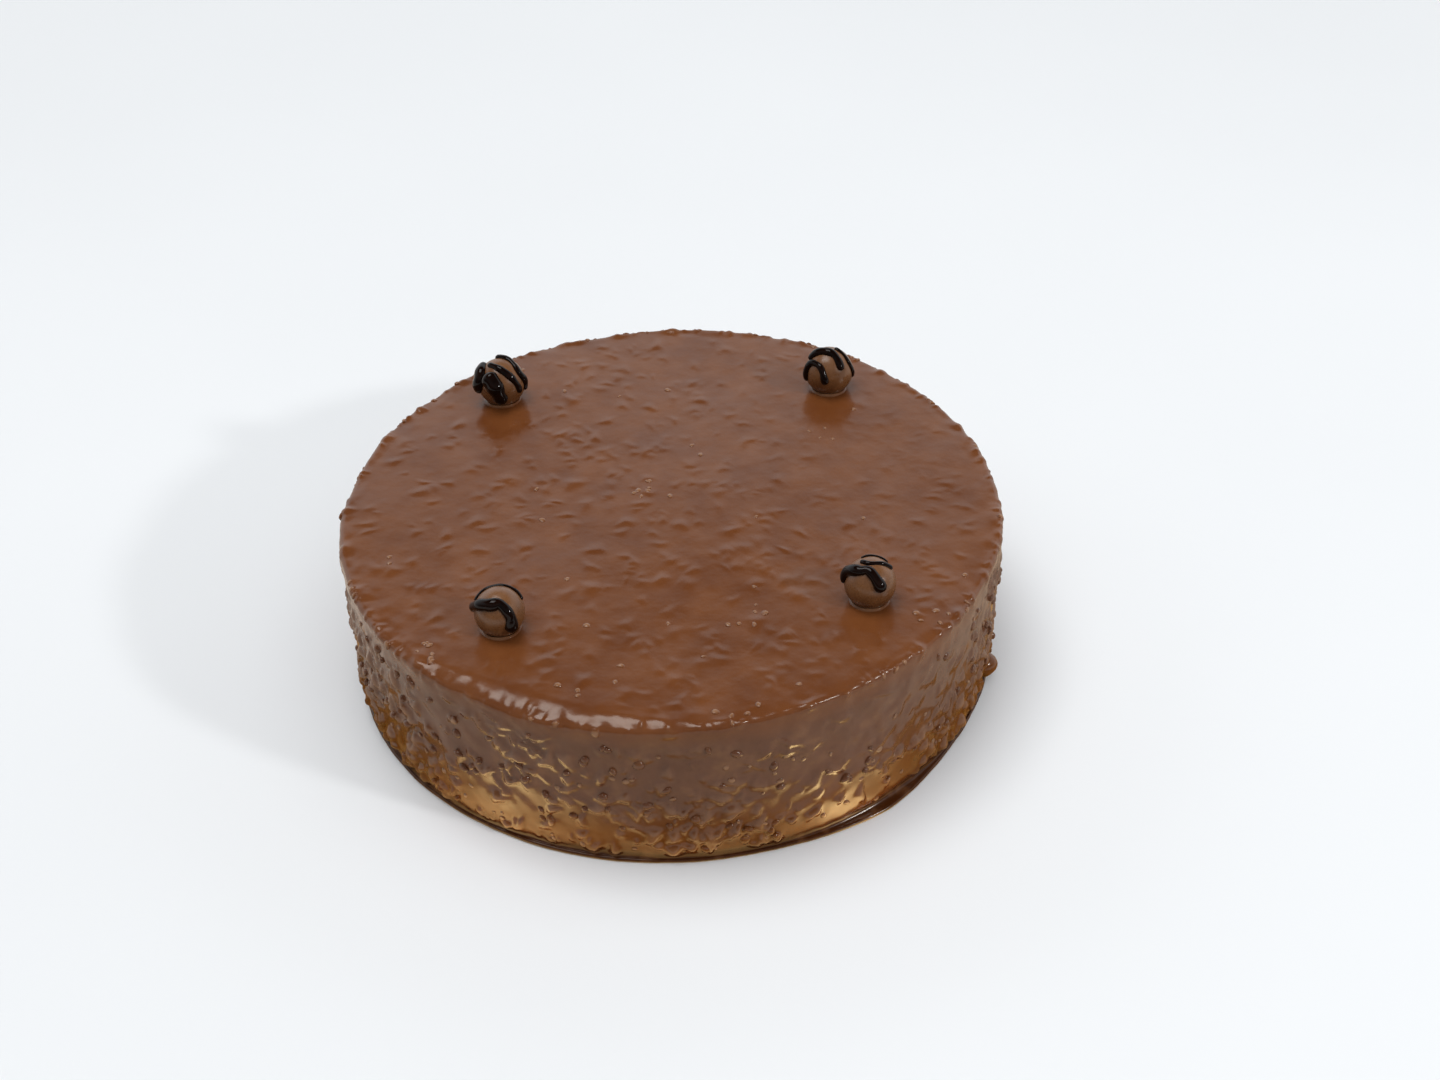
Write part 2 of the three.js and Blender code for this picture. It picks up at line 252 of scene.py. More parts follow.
def side_wave(angle, height):
    turn = np.radians(angle)
    slow = sum(w["height"] * np.sin(w["turns"] * turn + w["start"]) for w in SIDE_WAVES)
    drip = np.sin(SIDE_DRIPS["turns"] * turn + SIDE_DRIPS["start"])
    return slow + SIDE_DRIPS["height"] * drip * np.sin(2 * np.pi * height / SIDE_DRIPS["length"])


def top_wave(angle, distance):
    along = 2 * np.pi * distance * np.cos(np.radians(angle)) / TOP_WAVE["length_x"]
    across = 2 * np.pi * distance * np.sin(np.radians(angle)) / TOP_WAVE["length_y"]
    return TOP_WAVE["height"] * np.sin(along + TOP_WAVE["start"]) * np.cos(across)


def side_radius(angle, height):
    return CAKE_RADIUS - BASE_TAPER * (1 - height / CAKE_HEIGHT) + side_wave(angle, height)


def soft_rounding(angle):
    """Radius of the rim's upper arc."""
    return RIM_ROUNDING + SOFT_RIM["rounding"] * bell(angle, SOFT_RIM)


def rim_drop(angle):
    turn = math.radians(RIM_TURN)
    return RIM_ROUNDING * math.cos(turn) + soft_rounding(angle) * (1 - math.cos(turn))


def rim_point(angle, tilt):
    """Radius and height on the rim where it tilts by that many degrees: 90 at the wall and 0 on top."""
    turn, lean = math.radians(RIM_TURN), np.radians(tilt)
    lower, upper = np.maximum(lean, turn), np.minimum(lean, turn)
    soft = soft_rounding(angle)
    shoulder = CAKE_HEIGHT - rim_drop(angle)
    inward = RIM_ROUNDING * (1 - np.sin(lower)) + soft * (math.sin(turn) - np.sin(upper))
    rise = RIM_ROUNDING * np.cos(lower) + soft * (np.cos(upper) - math.cos(turn))
    return side_radius(angle, shoulder) - inward, shoulder + rise


def rim_tilt(angle, share):
    """The rim's tilt at that share of the way from the wall to the top."""
    soft = soft_rounding(angle)
    tight_way, soft_way = RIM_ROUNDING * (90 - RIM_TURN), soft * RIM_TURN
    way = share * (tight_way + soft_way)
    return np.where(way < tight_way, 90 - way / RIM_ROUNDING, RIM_TURN - (way - tight_way) / soft)


def foot_reach(angle):
    even = FOOT_REACH + sum(puddle["reach"] * bell(angle, puddle) for puddle in FOOT_PUDDLES)
    return even + ripples(on_cake(angle, CAKE_RADIUS, 0), FOOT_RIPPLES)


def on_cake(angle, radius, height):
    turn = np.radians(angle)
    return np.stack(np.broadcast_arrays(radius * np.cos(turn), radius * np.sin(turn), height), axis=-1)


def direction(azimuth, elevation):
    flat = math.cos(math.radians(elevation))
    turn = math.radians(azimuth)
    return np.array([flat * math.cos(turn), flat * math.sin(turn), math.sin(math.radians(elevation))])


def angle_of(place):
    return math.degrees(math.atan2(place[1], place[0]))


def faces_up(outward):
    return outward[2] > FACING_UP


def hazelnut_centre(nut):
    height = CAKE_HEIGHT + top_wave(nut["angle"], nut["distance"]) + nut["diameter"] / 2 - HAZELNUT_SINK
    return on_cake(nut["angle"], nut["distance"], height)


# Places of the nuts

def radical_inverse(index, base):
    value, share = 0.0, 1.0 / base
    while index > 0:
        value += share * (index % base)
        index //= base
        share /= base
    return value


def even_places(kind, pick):
    """As many places as that kind has nuts, from a rule for two shares that are spread evenly."""
    return [pick(radical_inverse(i, 3), radical_inverse(i, 2)) for i in range(1, kind["count"] + 1)]


def sized(kind, index):
    """Half length and height of the nut with that index, falling evenly over all of its kind."""
    share = index / (kind["count"] - 1)
    return mix(*kind["half_length"], share), mix(*kind["proud"], share)


def lump(draw, place, outward, half_length, proud, half_width=None, turn=None):
    """One lump: its place, the three directions it is measured along, its size and its ragged outline."""
    side = np.array([1.0, 0, 0]) if faces_up(outward) else np.cross(outward, UPWARD)
    side /= np.linalg.norm(side)
    up = np.cross(outward, side)
    turn = draw.uniform(0, 2 * math.pi) if turn is None else turn
    return {
        "place": place,
        "outward": outward,
        "along": math.cos(turn) * side + math.sin(turn) * up,
        "across": math.cos(turn) * up - math.sin(turn) * side,
        "half_length": half_length,
        "half_width": half_width or half_length * draw.uniform(*NUT_WIDTH),
        "proud": proud,
        "phases": (draw.uniform(*PHASES), draw.uniform(*PHASES)),
        "tilt": draw.uniform(-BUMP_TILT, BUMP_TILT),
    }


def on_top(angle, distance):
    return on_cake(angle, distance, CAKE_HEIGHT + top_wave(angle, distance)), UPWARD


def anywhere_on_top(draw, widest):
    return on_top(draw.uniform(0, 360), widest * math.sqrt(draw.random()))


def on_side(angle, height):
    return on_cake(angle, side_radius(angle, height), height), direction(angle, 0)


def on_rim(angle, lean):
    """A place on the rim and its outward direction, at a lean of 0 beside the wall to 90 beside the top."""
    return on_cake(angle, *rim_point(angle, 90 - lean)), direction(angle, lean)


def clear_of_hazelnuts(place, half_length):
    for nut in HAZELNUTS.values():
        apart = math.dist(place[:2], hazelnut_centre(nut)[:2])
        if apart < nut["diameter"] / 2 + half_length * NUT_RAGGED_REACH + NUT_CLEAR_OF_HAZELNUT:
            return False
    return True


def in_cluster(draw, place):
    return noise.noise(Vector(place) / CLUSTER_SIZE) > draw.uniform(*CLUSTER_EDGE)


def drawn(draw, count, pick):
    """That many places from a rule that draws one at a time, kept only where a cluster is."""
    found = []
    while len(found) < count:
        place, outward = pick()
        if in_cluster(draw, place):
            found.append((place, outward))
    return found


def lumps_at(draw, kind, places):
    lumps = []
    for i, (place, outward) in enumerate(places):
        half_length, proud = sized(kind, i)
        half_width = half_length * draw.uniform(*kind.get("width", NUT_WIDTH))
        if not faces_up(outward) or clear_of_hazelnuts(place, half_length):
            lumps.append(lump(draw, place, outward, half_length, proud, half_width))
    return lumps


def top_bumps(draw):
    widest = CAKE_RADIUS - NUT_CLEAR_OF_RIM
    places = even_places(TOP_NUTS, lambda turn, out: on_top(360 * turn, widest * math.sqrt(out)))
    more = drawn(draw, SMALL_TOP_NUTS["count"], lambda: anywhere_on_top(draw, widest))
    bumps = lumps_at(draw, TOP_NUTS, places) + lumps_at(draw, SMALL_TOP_NUTS, more)
    for item in bumps:
        apart = math.dist(item["place"][:2], (TOP_CALM["x"], TOP_CALM["y"]))
        item["proud"] *= 1 - TOP_CALM["share"] * math.exp(-((apart / TOP_CALM["reach"]) ** 2))
    return bumps


def side_place(draw):
    """A place on the side drawn at random, more often low down."""
    angle = draw.uniform(0, 360)
    return on_side(angle, mix(*SMALL_NUT_HEIGHTS, draw.random() ** SMALL_NUT_LOW_BIAS))


def climb(height, span):
    return min(max((height - span["from"]) / (span["to"] - span["from"]), 0), 1)


def calm_on_side(place):
    """How calm the glaze on the side is at that place, from 0 to 1."""
    near = bell(angle_of(place), SIDE_CALM)
    return SIDE_CALM["share"] * near * climb(place[2], SIDE_CALM)


def in_smooth_patch(place):
    for patch in SMOOTH_PATCHES:
        around = (angle_of(place) - patch["angle"]) / patch["spread"]
        above = (place[2] - patch["height"]) / patch["reach"]
        if math.hypot(around, above) < 1:
            return True
    return False


def side_nuts(draw):
    places = even_places(SIDE_NUTS, lambda turn, up: on_side(360 * turn, mix(*NUT_HEIGHTS, up)))
    more = drawn(draw, SMALL_SIDE_NUTS["count"], lambda: side_place(draw))
    large = lumps_at(draw, SIDE_NUTS, places)
    small = lumps_at(draw, SMALL_SIDE_NUTS, more)
    for item in large + small:
        item["proud"] *= mix(1, DEEPER_NUTS["share"], climb(item["place"][2], DEEPER_NUTS))
        item["proud"] *= 1 - calm_on_side(item["place"])
    return large + [item for item in small if not in_smooth_patch(item["place"])]


def rim_nuts(draw):
    places = even_places(RIM_NUTS, lambda lean, turn: on_rim(360 * turn, mix(*RIM_NUT_LEAN, lean)))
    more = drawn(
        draw, SMALL_RIM_NUTS["count"],
        lambda: on_rim(draw.uniform(0, 360), draw.uniform(*RIM_NUT_LEAN)),
    )
    return lumps_at(draw, RIM_NUTS, places) + lumps_at(draw, SMALL_RIM_NUTS, more)


def base_knob(draw):
    place, outward = on_side(BASE_KNOB["angle"], BASE_KNOB["height"])
    return lump(draw, place, outward, *[BASE_KNOB[size] for size in SIZES]) | {"cut": KNOB_CUT}


def glaze_run(draw):
    place, outward = on_side(draw.uniform(0, 360), draw.uniform(*RUN_HEIGHTS))
    sizes = [draw.uniform(*RUNS[size]) for size in SIZES]
    return lump(draw, place, outward, *sizes, draw.uniform(*RUN_TURNS))


def speck_places(draw):
    places = []
    for cluster in SPECK_CLUSTERS:
        for _ in range(cluster["count"]):
            x = draw.gauss(cluster["x"], cluster["spread"] / 2)
            y = draw.gauss(cluster["y"], cluster["spread"] / 2)
            distance = min(math.hypot(x, y), CAKE_RADIUS - SPECK_CLEAR_OF_RIM["clustered"])
            places.append(on_top(angle_of((x, y)), distance))
    for _ in range(SCATTERED_SPECKS["top"]):
        places.append(anywhere_on_top(draw, CAKE_RADIUS - SPECK_CLEAR_OF_RIM["scattered"]))
    for _ in range(SCATTERED_SPECKS["rim"]):
        places.append(on_rim(draw.uniform(0, 360), draw.uniform(*SPECK_RIM_LEAN)))
    return places + [side_place(draw) for _ in range(SCATTERED_SPECKS["side"])]


def lumps_drawn(draw, kind, places):
    """Lumps at the given places, with sizes drawn at random, clear of the hazelnuts."""
    return [
        lump(draw, place, outward, draw.uniform(*kind["half_length"]), draw.uniform(*kind["proud"]))
        for place, outward in places
        if clear_of_hazelnuts(place, 0)
    ]


# Relief of the glaze

def noise_values(points, size, kind=noise.noise):
    return np.array([kind(Vector(p) / size) for p in points.tolist()])


def wander(points, warp):
    return warp["height"] * noise_values(points, warp["size"], noise.noise_vector)


def bump_heights(points, lumps):
    """How far the lumps lift the glaze at each point, blended so that close lumps run into one another."""
    lifted = np.zeros(len(points))
    for item in lumps:
        far = BUMP_CUTOFF * max(item["half_length"], item["half_width"])
        near = np.nonzero(np.abs(points - item["place"]).max(axis=1) < far)[0]
        if len(near) == 0:
            continue
        away = points[near] - item["place"]
        x = away @ item["along"] / item["half_length"]
        y = away @ item["across"] / item["half_width"]
        around = np.arctan2(y, x)
        waves = np.sin(2 * around + item["phases"][0]) + np.sin(3 * around + item["phases"][1])
        rho = np.hypot(x, y) * (1 + BUMP_RAGGEDNESS * waves)
        crown = item["proud"] * (1 + item["tilt"] * np.clip(x, -1, 1))
        steepness = BUMP_STEEPNESS["top" if faces_up(item["outward"]) else "side"]
        height = crown * np.exp(-((rho / BUMP_REACH) ** steepness))
        lifted[near] = (lifted[near] ** BUMP_BLEND + height ** BUMP_BLEND) ** (1 / BUMP_BLEND)
    return lifted


def ripples(points, kinds):
    return sum(height * noise_values(points, size) for size, height in kinds)


def top_share_of(points, radius):
    """How far each point belongs to the top, from 0 on the side to 1."""
    high = (points[:, 2] - CAKE_HEIGHT + TOP_BLEND["below"]) / TOP_BLEND["width"]
    inside = (CAKE_RADIUS - TOP_BLEND["inside"] - radius) / TOP_BLEND["width"]
    return np.clip(high, 0, 1) * np.clip(inside, 0, 1)


def rim_share_of(points, radius):
    """How strongly the rim's own ripples show at each point: most on the soft stretch of rim."""
    angle = np.degrees(np.arctan2(points[:, 1], points[:, 0]))
    inward = radius - CAKE_RADIUS + RIM_BAND["inside"]
    above = RIM_BAND["squash"] * (points[:, 2] - CAKE_HEIGHT + RIM_BAND["below"])
    unevenness = mix(RIM_CALM_SHARE, 1, bell(angle, SOFT_RIM, RIM_BAND["widening"]))
    return unevenness * np.exp(-((np.hypot(inward, above) / RIM_BAND["reach"]) ** 2))


def relief(points, lumps):
    """How far the glaze stands out from the smooth form at each point, and how pale it is over nuts."""
    radius = np.hypot(points[:, 0], points[:, 1])
    top_share = top_share_of(points, radius)
    side_warp = sum(wander(points, warp) for warp in SIDE_WARPS)
    warped = points + mix(side_warp, wander(points, TOP_WARP), top_share[:, None])
    nut = bump_heights(warped, lumps["nuts"])
    runs = bump_heights(warped, lumps["runs"])
    ripple = mix(ripples(points, SIDE_RIPPLES), ripples(points, TOP_RIPPLES), top_share)
    ripple += rim_share_of(points, radius) * ripples(points, RIM_RIPPLES)
    return np.maximum(nut, runs) + ripple, NUT_PALENESS * nut / SIDE_NUTS["proud"][0]


# Meshes

def new_object(name, data):
    item = bpy.data.objects.new(name, data)
    bpy.context.collection.objects.link(item)
    return item


def mesh_piece(name, points, faces, material):
    mesh = bpy.data.meshes.new(name)
    mesh.from_pydata((np.asarray(points) * MM).tolist(), [], faces)
    mesh.validate()
    mesh.polygons.foreach_set("use_smooth", [True] * len(mesh.polygons))
    mesh.materials.append(material)
    return new_object(name, mesh)


def set_shares(piece, name, shares):
    attribute = piece.data.attributes.new(name, "FLOAT", "POINT")
    attribute.data.foreach_set("value", np.clip(shares, 0, 1).astype(np.float32))


def ring_faces(first, second, count):
    """Quads between two rings of the same count, each given by the index of its first point."""
    return [
        (first + i, first + (i + 1) % count, second + (i + 1) % count, second + i)
        for i in range(count)
    ]


def band_faces(start, rings, count):
    """Quads of a band of rings that follow one another, from the index of its first point."""
    firsts = range(start, start + (rings - 1) * count, count)
    return [face for first in firsts for face in ring_faces(first, first + count, count)]


def halving_faces(outer, inner, count):
    """Faces from a ring of the given count to an inner ring of half as many points."""
    faces = []
    half = count // 2
    for i in range(half):
        a, b, c = outer + 2 * i, outer + 2 * i + 1, outer + (2 * i + 2) % count
        p, q = inner + i, inner + (i + 1) % half
        faces += [(a, b, p), (b, q, p), (b, c, q)]
    return faces


def wall_grid(angles):
    """Rows of points from the outer edge of the underside up over the foot, wall and rim."""
    flat = 0 * angles
    foot = side_radius(angles, 0) + foot_reach(angles)
    half = FOOT_HEIGHT / 2
    shoulder = CAKE_HEIGHT - rim_drop(angles)
    crease = side_radius(angles, CREASE_HEIGHT) - CREASE_DEPTH
    rows = []
    for k in range(FOOT_ROWS + 1):
        lean = math.pi * (k / FOOT_ROWS - 0.5)
        rows.append((foot - half + half * math.cos(lean), half + half * math.sin(lean) + flat))
    for k in range(1, LEDGE_ROWS + 1):
        share = k / LEDGE_ROWS
        height = mix(FOOT_HEIGHT, CREASE_HEIGHT, share ** LEDGE_CURVE)
        rows.append((mix(foot - half, crease, share), height + flat))
    for k in range(1, SIDE_ROWS + 1):
        height = mix(CREASE_HEIGHT, shoulder, k / SIDE_ROWS)
        pinch = CREASE_DEPTH * np.exp(-(height - CREASE_HEIGHT) / CREASE_FADE)
        rows.append((side_radius(angles, height) - pinch, height))
    for k in range(1, RIM_ROWS + 1):
        share = k / RIM_ROWS
        radius, height = rim_point(angles, rim_tilt(angles, share))
        rows.append((radius, height + share * top_wave(angles, radius)))
    return np.array([on_cake(angles, radius, height) for radius, height in rows])


def grid_normals(grid):
    around = np.roll(grid, -1, axis=1) - np.roll(grid, 1, axis=1)
    upward = np.gradient(grid, axis=0)
    normals = np.cross(around, upward)
    return normals / np.linalg.norm(normals, axis=2, keepdims=True)


def top_rings(angles, rim_radius):
    """Rings of the top from the rim to the middle, with half the points inside each halving radius."""
    rings = []
    steps = round(CAKE_RADIUS / TOP_RING_STEP)
    for k in range(1, steps):
        share = 1 - k / steps
        halvings = sum(share * CAKE_RADIUS < radius for radius in HALVING_RADII)
        pick = slice(None, None, 2 ** halvings)
        radius = rim_radius[pick] * share
        rings.append(on_cake(angles[pick], radius, CAKE_HEIGHT + top_wave(angles[pick], radius)))
    return rings


def press_seats(points):
    """Lowers the points of the top under each hazelnut into its seat."""
    for nut in HAZELNUTS.values():
        centre = hazelnut_centre(nut)
        reach = nut["diameter"] / 2 + SEAT_GAP
        apart = np.hypot(points[:, 0] - centre[0], points[:, 1] - centre[1])
        under = (apart < reach) & (points[:, 2] > CAKE_HEIGHT / 2)
        seat = centre[2] - np.sqrt(np.maximum(reach ** 2 - apart ** 2, 0))
        points[under, 2] = np.minimum(points[under, 2], seat[under])
    return points


def side_faces(rows, middle_below):
    underside = [((i + 1) % SEGMENTS, i, middle_below) for i in range(SEGMENTS)]
    return band_faces(0, rows, SEGMENTS) + underside


def top_faces(rows, rings, middle):
    faces = []
    start, count = (rows - 1) * SEGMENTS, SEGMENTS
    following = rows * SEGMENTS
    for ring in rings:
        if len(ring) == count:
            faces += ring_faces(start, following, count)
        else:
            faces += halving_faces(start, following, count)
            count = len(ring)
        start, following = following, following + count
    return faces + [(start + i, start + (i + 1) % count, middle) for i in range(count)]


def directions_of(points, faces):
    """The directions that a surface faces at its points."""
    mesh = bpy.data.meshes.new("whole_surface")
    mesh.from_pydata((points * MM).tolist(), [], faces)
    normals = np.empty(3 * len(points), dtype=np.float32)
    mesh.vertex_normals.foreach_get("vector", normals)
    bpy.data.meshes.remove(mesh)
    return normals.reshape(-1, 3)


def parts_of_surface(points, shares, groups, material):
    """Pieces of one surface. Each is shaded as the whole is, so that no seam shows between them."""
    facing = directions_of(points, sum(groups.values(), []))
    pieces = []
    for name, faces in groups.items():
        used = np.unique([index for face in faces for index in face])
        place = np.zeros(len(points), dtype=int)
        place[used] = np.arange(len(used))
        own_faces = [tuple(place[list(face)].tolist()) for face in faces]
        piece = mesh_piece(name, points[used], own_faces, material)
        piece.data.normals_split_custom_set_from_vertices(facing[used].tolist())
        set_shares(piece, "nut_and_highlight_share", shares[used])
        pieces.append(piece)
    return pieces


def glaze_body(lumps, material):
    """The whole cake: a smooth turned form, lifted by nuts, runs and ripples, as a side and a top."""
    angles = 360 * np.arange(SEGMENTS) / SEGMENTS
    wall = wall_grid(angles)
    rows = len(wall)
    rings = top_rings(angles, np.hypot(wall[-1, :, 0], wall[-1, :, 1]))
    points = np.concatenate([wall.reshape(-1, 3)] + rings)
    outward = np.tile(UPWARD, (len(points), 1))
    outward[:rows * SEGMENTS] = grid_normals(wall).reshape(-1, 3)
    lift, bared = relief(points, lumps)
    above_floor = np.clip(points[:, 2] / CREASE_HEIGHT - LIFT_START, 0, 1)
    points = press_seats(points + outward * (lift * above_floor)[:, None])
    middles = [[0, 0, CAKE_HEIGHT + float(top_wave(0, 0))], [0, 0, 0]]
    groups = {
        "glazed_side": side_faces(rows, len(points) + 1),
        "glazed_top": top_faces(rows, rings, len(points)),
    }
    shares = np.concatenate([bared, [0, 0]])
    return parts_of_surface(np.concatenate([points, middles]), shares, groups, material)


def unit_ball(fineness):
    """Points and triangles of a ball of radius 1."""
    ball = bmesh.new()
    bmesh.ops.create_icosphere(ball, subdivisions=fineness, radius=1)
    points = np.array([vertex.co[:] for vertex in ball.verts])
    faces = np.array([[vertex.index for vertex in face.verts] for face in ball.faces])
    ball.free()
    return points, faces


def pebble(draw, ball, item):
    """Points of one bit of nut: a ball cut by a few soft facets, stretched and set into the glaze."""
    cut = np.ones(len(ball))
    for _ in range(PEBBLE_FACETS):
        facing = direction(draw.uniform(0, 360), math.degrees(math.asin(draw.uniform(-1, 1))))
        edge = draw.uniform(*item.get("cut", PEBBLE_CUT))
        cut += (np.maximum(ball @ facing, 0) / edge) ** PEBBLE_SHARPNESS
    thickness = max(PEBBLE_DEPTH * item["proud"], PEBBLE_THICKNESS * item["half_length"])
    shape = ball * (cut ** (-1 / PEBBLE_SHARPNESS))[:, None]
    shape *= [item["half_length"], item["half_width"], thickness]
    rise = shape[:, 2] - shape[:, 2].max() + item["proud"]
    spread = shape[:, :1] * item["along"] + shape[:, 1:2] * item["across"]
    return item["place"] + spread + rise[:, None] * item["outward"]


def pebbles(name, draw, items, material, paleness=0, fineness=PEBBLE_FINENESS):
    """One piece of many bits of nut. Where they are pale, they are palest at their crowns."""
    ball, triangles = unit_ball(fineness)
    points = [pebble(draw, ball, item) for item in items]
    crowns = [(own - item["place"]) @ item["outward"] / item["proud"] for own, item in zip(points, items)]
    faces = np.concatenate([triangles + i * len(ball) for i in range(len(items))])
    piece = mesh_piece(name, np.concatenate(points), faces.tolist(), material)
    set_shares(piece, "nut_and_highlight_share", paleness * np.concatenate(crowns))
    return piece


def laid_on_glaze(items, lumps):
    """The same bits, moved out to the glaze as it lies over the larger nuts."""
    lifts, _ = relief(np.array([item["place"] for item in items]), lumps)
    for item, lift in zip(items, lifts):
        item["place"] = item["place"] + lift * item["outward"]
    return items


def lone_nuts(lumps, material):
    """Single nuts on the side, fewer where the glaze is calm."""
    draw = random.Random(SEED + 4)
    spots = [
        on_side(draw.uniform(0, 360), draw.uniform(*NUT_HEIGHTS))
        for _ in range(LONE_NUTS["count"])
    ]
    kept = [
        (place, outward) for place, outward in spots
        if draw.random() > calm_on_side(place) and not in_smooth_patch(place)
    ]
    items = laid_on_glaze(lumps_drawn(draw, LONE_NUTS, kept), lumps)
    return pebbles("lone_nuts", draw, items, material, fineness=LONE_NUT_FINENESS)


def nut_chips(lumps, material):
    draw = random.Random(SEED + 2)
    items = lumps_drawn(draw, CHIPS, [side_place(draw) for _ in range(CHIPS["count"])])
    return pebbles("nut_chips", draw, laid_on_glaze(items, lumps), material)


def nut_specks(lumps, material):
    draw = random.Random(SEED + 3)
    items = lumps_drawn(draw, SPECKS, speck_places(draw))
    return pebbles("nut_specks", draw, laid_on_glaze(items, lumps), material, SPECK_PALENESS)


def glaze_lips(material):
    """The low lip of glaze that each hazelnut pushed up around itself. Its crest is painted pale at the
    front as a painted highlight.
    """
    draw = random.Random(SEED + 1)
    angles = 360 * np.arange(LIP_SEGMENTS) / LIP_SEGMENTS
    turns = np.radians(angles)
    front = bell(angles, LIP_FRONT)
    rings, shares, faces = [], [], []
    for nut in HAZELNUTS.values():
        radius = nut["diameter"] / 2
        inner = math.sqrt(radius ** 2 - (radius - HAZELNUT_SINK) ** 2) - LIP_OVERLAP
        waves = sum(np.sin(k * turns + draw.uniform(*PHASES)) for k in (2, 3))
        crown = LIP_HEIGHT * mix(LIP_BACK_SHARE, 1, front) * (1 + LIP_UNEVENNESS * waves)
        for row in range(LIP_ROWS):
            share = row / (LIP_ROWS - 1)
            crest = math.sin(math.pi * share ** LIP_LEAN) ** 2
            height = HAZELNUT_SINK - radius + crown * crest - LIP_SINK
            if row > 0:
                first = len(rings) * LIP_SEGMENTS
                faces += ring_faces(first, first - LIP_SEGMENTS, LIP_SEGMENTS)
            rings.append(hazelnut_centre(nut) + on_cake(angles, inner + LIP_WIDTH * share, height))
            # Painted highlight: the crest of the lip is painted pale, most at the front
            shares.append(crest * front)
    piece = mesh_piece("glaze_lips", np.concatenate(rings), faces, material)
    set_shares(piece, "nut_and_highlight_share", np.concatenate(shares))
    return piece


def coated_hazelnut(name, nut, material):
    ball, triangles = unit_ball(HAZELNUT_FINENESS)
    radius = nut["diameter"] / 2
    uneven = noise_values(ball * radius + [nut["angle"], 0, 0], HAZELNUT_UNEVENNESS["size"])
    lengths = radius * (1 + HAZELNUT_UNEVENNESS["share"] * uneven)
    points = hazelnut_centre(nut) + ball * lengths[:, None]
    return mesh_piece(name, points, triangles.tolist(), material)


def curve_through(directions, count):
    """Points of a smooth curve through the given directions, each brought back to length 1."""
    ends = [2 * directions[0] - directions[1]] + directions + [2 * directions[-1] - directions[-2]]
    spans = len(directions) - 1
    samples = []
    for k in range(count):
        place = spans * k / (count - 1)
        i = min(int(place), spans - 1)
        t = place - i
        a, b, c, d = ends[i:i + 4]
        bend = (2 * a - 5 * b + 4 * c - d) * t ** 2
        twist = (3 * b - a - 3 * c + d) * t ** 3
        point = 0.5 * (2 * b + (c - a) * t + bend + twist)
        samples.append(point / np.linalg.norm(point))
    return np.array(samples)


def strand_widths(width, along, phase):
    """Half widths of a strand at the given lengths along it, rounded at both ends."""
    to_end = np.minimum(along, along[-1] - along)
    cap = np.sqrt(1 - (1 - np.minimum(to_end / (0.5 * width), 1)) ** 2)
    waves = [w["share"] * np.sin(along / w["length"] + w["starts"] * phase) for w in STRAND_WAVES]
    return 0.5 * width * np.maximum(cap, STRAND_TIP) * (1 + sum(waves))


def strand_mesh(draw, nut, width, path, start):
    """Points and faces of one strand: a round cord half sunk in the nut, with rounded ends."""
    radius = nut["diameter"] / 2
    outward = curve_through([direction(*place) for place in path], STRAND_STEPS)
    across = np.cross(np.gradient(outward, axis=0), outward)
    across /= np.linalg.norm(across, axis=1, keepdims=True)
    steps = np.linalg.norm(np.diff(outward, axis=0), axis=1)
    halves = strand_widths(width, np.concatenate([[0], np.cumsum(steps)]) * radius, draw.uniform(*PHASES))
    turns = 2 * np.pi * np.arange(STRAND_SIDES) / STRAND_SIDES
    lifts = np.sin(turns) * np.where(np.sin(turns) > 0, STRAND_RISE, STRAND_SINK)
    rise = radius + np.outer(halves, lifts)
    aside = np.outer(halves, np.cos(turns))
    rings = hazelnut_centre(nut) + outward[:, None] * rise[..., None] + across[:, None] * aside[..., None]
    faces = band_faces(start, STRAND_STEPS, STRAND_SIDES)
    last = start + (STRAND_STEPS - 1) * STRAND_SIDES
    ring = range(STRAND_SIDES)
    faces += [tuple(start + i for i in reversed(ring)), tuple(last + i for i in ring)]
    return rings.reshape(-1, 3).tolist(), faces


def drizzle(name, nut, material):
    draw = random.Random(f"{SEED}{name}")
    points, faces = [], []
    for width, path in nut["strands"]:
        more_points, more_faces = strand_mesh(draw, nut, width, path, len(points))
        points += more_points
        faces += more_faces
    return mesh_piece(name, points, faces, material)


# Materials

def set_inputs(tree, node, inputs):
    """Sets a node's inputs, by name or number, to plain values or to other nodes' outputs."""
    for name, value in inputs.items():
        if isinstance(value, bpy.types.NodeSocket):
            tree.links.new(value, node.inputs[name])
        else:
            node.inputs[name].default_value = value


def new_node(tree, kind, inputs):
    node = tree.nodes.new(kind)
    set_inputs(tree, node, inputs)
    return node


def new_material(name, kind="ShaderNodeBsdfPrincipled"):
    material = bpy.data.materials.new(name)
    material.use_nodes = True
    tree = material.node_tree
    tree.nodes.clear()
    shader = tree.nodes.new(kind)
    new_node(tree, "ShaderNodeOutputMaterial", {"Surface": shader.outputs[0]})
    return material, tree, shader


def noise_node(tree, scale, detail):
    place = tree.nodes.new("ShaderNodeTexCoord").outputs["Object"]
    inputs = {"Vector": place, "Scale": scale, "Detail": detail}
    return new_node(tree, "ShaderNodeTexNoise", inputs).outputs["Fac"]


def spread(tree, value, from_low, from_high, to_low=0, to_high=1):
    limits = {"From Min": from_low, "From Max": from_high, "To Min": to_low, "To Max": to_high}
    return new_node(tree, "ShaderNodeMapRange", {"Value": value} | limits).outputs["Result"]


def clouds(tree, grain, low=0, high=1):
    """Soft clouds of a noise, given by its scale and detail, that range between the two values."""
    return spread(tree, noise_node(tree, *grain), *CLOUD_SPAN, low, high)


def combined(tree, operation, first, second):
    node = new_node(tree, "ShaderNodeMath", {0: first, 1: second})
    node.operation = operation
    return node.outputs["Value"]


